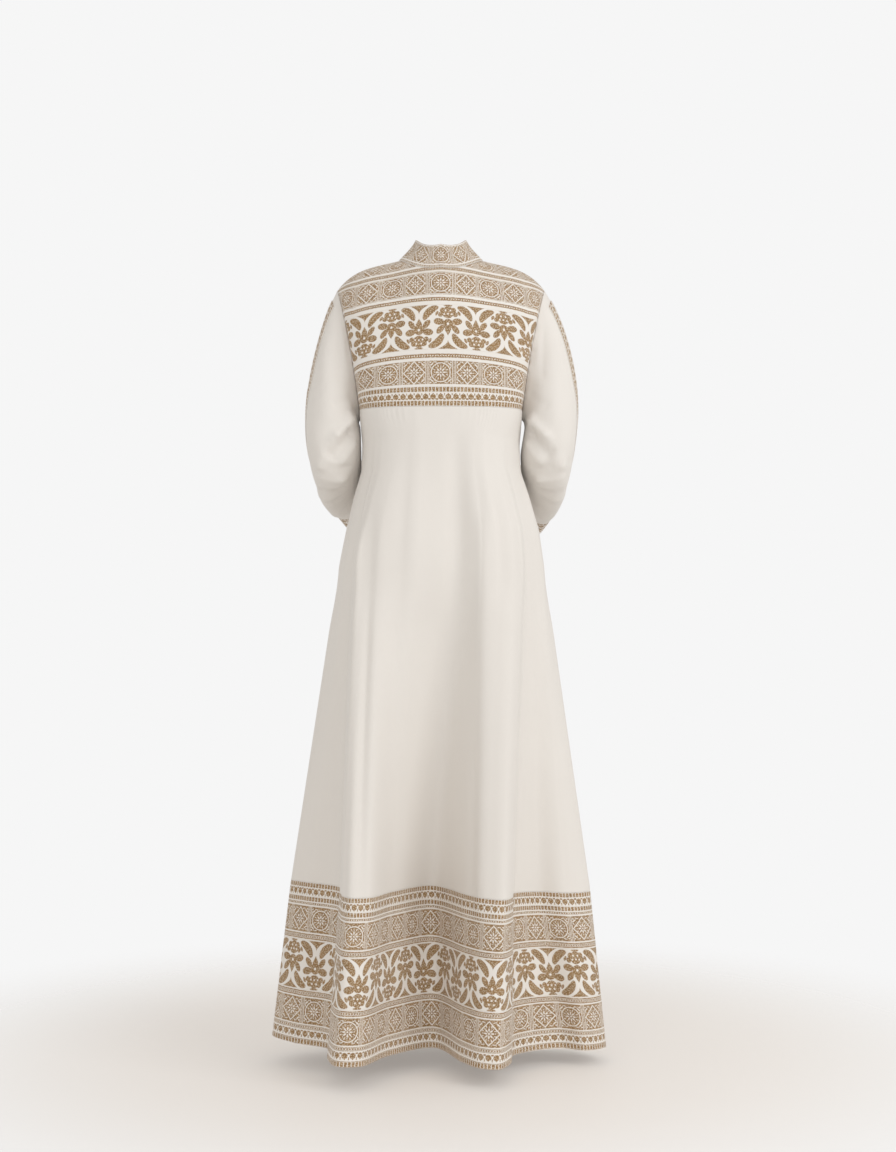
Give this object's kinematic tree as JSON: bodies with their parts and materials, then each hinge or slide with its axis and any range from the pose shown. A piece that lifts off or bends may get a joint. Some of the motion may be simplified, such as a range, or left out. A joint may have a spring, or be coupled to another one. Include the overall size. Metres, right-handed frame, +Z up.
{
  "type": "abaya",
  "caption": "Long cream abaya in its worn, hollow form, with a stand collar, patterned yoke, cuffs and deep hem border, and bell sleeves bent forward.",
  "frame": {"origin": "between the shoulders, at the level of the side of the neck, where the wearer's shoulders carry the garment", "axes": "+Z up along the garment, -Y towards the wearer's front, +X towards the wearer's left"},
  "size_m": [0.6188, 0.426, 1.4918],
  "materials": {
    "cream_cloth": "matte crepe",
    "patterned_band": "matte, fine stitched pattern"
  },
  "bodies": {
    "root": {"collar": "patterned_band", "yoke_back": "patterned_band", "yoke_front_left": "patterned_band", "yoke_front_right": "patterned_band", "skirt_back": "cream_cloth", "skirt_front_left": "cream_cloth", "skirt_front_right": "cream_cloth", "hem_band_back": "patterned_band", "hem_band_front_left": "patterned_band", "hem_band_front_right": "patterned_band", "sleeve_left": "cream_cloth", "sleeve_right": "cream_cloth", "cuff_left": "patterned_band", "cuff_right": "patterned_band", "overarm_band_left": "patterned_band", "overarm_band_right": "patterned_band"}
  },
  "joints": []
}
